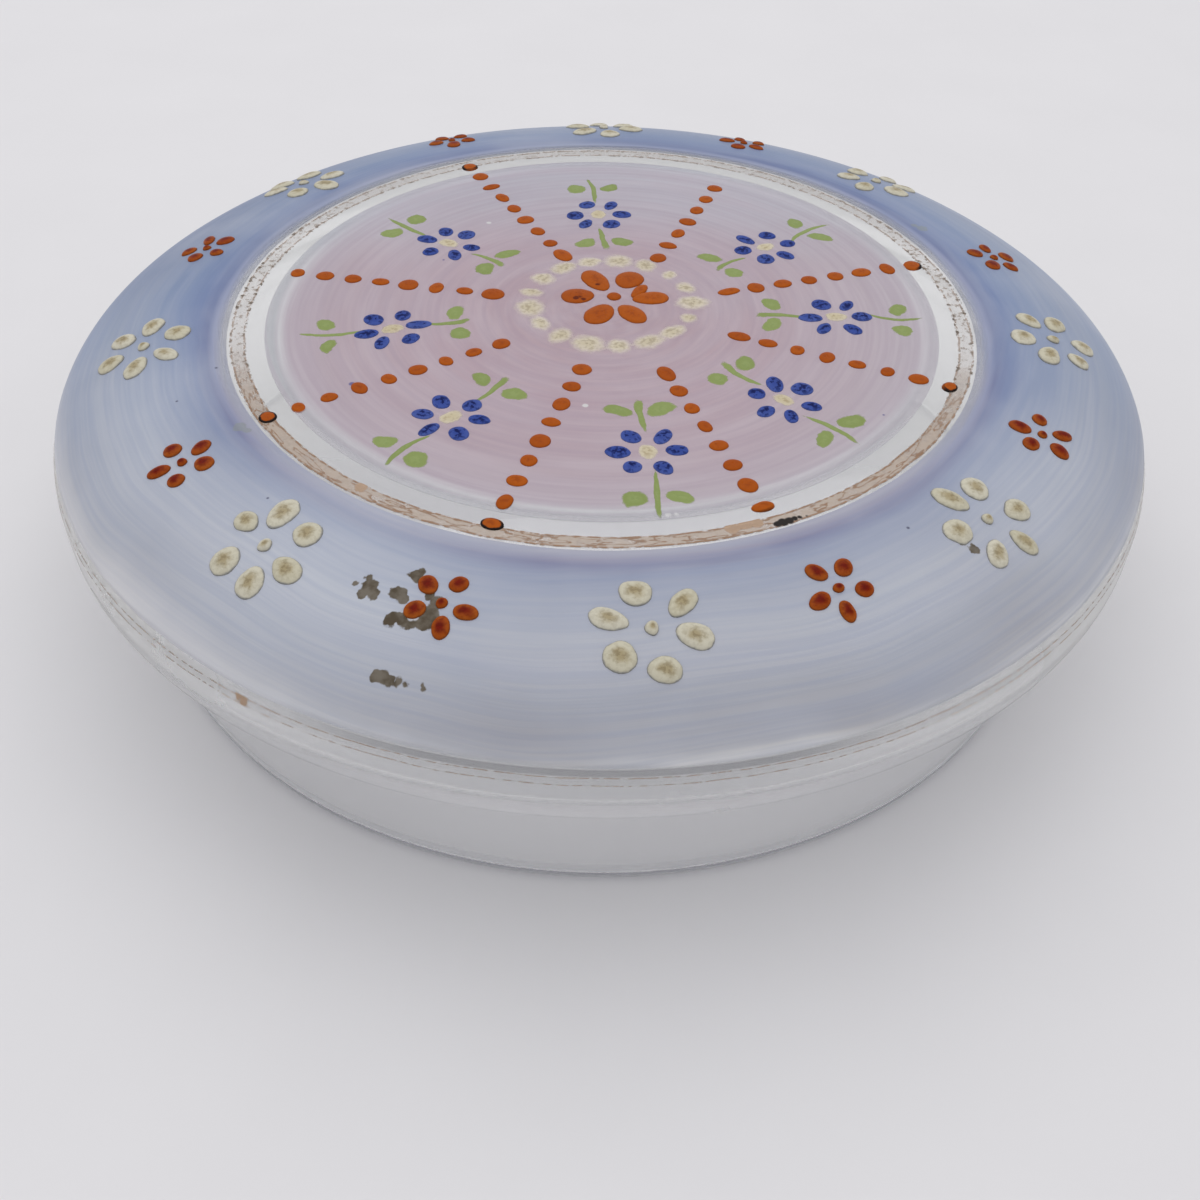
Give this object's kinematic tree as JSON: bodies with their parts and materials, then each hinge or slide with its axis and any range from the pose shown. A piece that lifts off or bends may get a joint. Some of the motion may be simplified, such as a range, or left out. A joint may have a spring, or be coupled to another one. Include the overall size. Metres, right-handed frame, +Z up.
{
  "type": "enamelled glass box lid",
  "caption": "Round blown-glass lid of a covered box: flat painted top, sloping shoulder, clear rim and an inset flange that drops into the box, with raised enamel flowers.",
  "frame": {"origin": "centre of the foot of the flange, on the plane that the lid stands on", "axes": "+Z up along the lid's axis; -Y towards the camera of the picture"},
  "size_m": [0.13, 0.13, 0.034],
  "materials": {
    "clear_glass": "clear gloss",
    "blue_coat": "brushed translucent stain",
    "lilac_coat": "brushed translucent stain",
    "gilding": "worn",
    "cream_enamel": "gloss",
    "orange_enamel": "gloss",
    "cobalt_enamel": "gloss",
    "green_enamel": "gloss"
  },
  "bodies": {
    "root": {"centre_flower": "orange_enamel", "centre_wreath": "cream_enamel", "cream_flower_1": "cream_enamel", "cream_flower_2": "cream_enamel", "cream_flower_3": "cream_enamel", "cream_flower_4": "cream_enamel", "cream_flower_5": "cream_enamel", "cream_flower_6": "cream_enamel", "cream_flower_7": "cream_enamel", "cream_flower_8": "cream_enamel", "lid_glass": "clear_glass", "orange_flower_1": "orange_enamel", "orange_flower_2": "orange_enamel", "orange_flower_3": "orange_enamel", "orange_flower_4": "orange_enamel", "orange_flower_5": "orange_enamel", "orange_flower_6": "orange_enamel", "orange_flower_7": "orange_enamel", "orange_flower_8": "orange_enamel", "posy_eye_1": "cream_enamel", "posy_eye_2": "cream_enamel", "posy_eye_3": "cream_enamel", "posy_eye_4": "cream_enamel", "posy_eye_5": "cream_enamel", "posy_eye_6": "cream_enamel", "posy_eye_7": "cream_enamel", "posy_eye_8": "cream_enamel", "posy_leaves_1": "green_enamel", "posy_leaves_2": "green_enamel", "posy_leaves_3": "green_enamel", "posy_leaves_4": "green_enamel", "posy_leaves_5": "green_enamel", "posy_leaves_6": "green_enamel", "posy_leaves_7": "green_enamel", "posy_leaves_8": "green_enamel", "posy_petals_1": "cobalt_enamel", "posy_petals_2": "cobalt_enamel", "posy_petals_3": "cobalt_enamel", "posy_petals_4": "cobalt_enamel", "posy_petals_5": "cobalt_enamel", "posy_petals_6": "cobalt_enamel", "posy_petals_7": "cobalt_enamel", "posy_petals_8": "cobalt_enamel", "ray_1": "orange_enamel", "ray_2": "orange_enamel", "ray_3": "orange_enamel", "ray_4": "orange_enamel", "ray_5": "orange_enamel", "ray_6": "orange_enamel", "ray_7": "orange_enamel", "ray_8": "orange_enamel", "rim_gilding": "gilding", "ring_gilding": "gilding", "shoulder_coat": "blue_coat", "top_coat": "lilac_coat"}
  },
  "joints": []
}
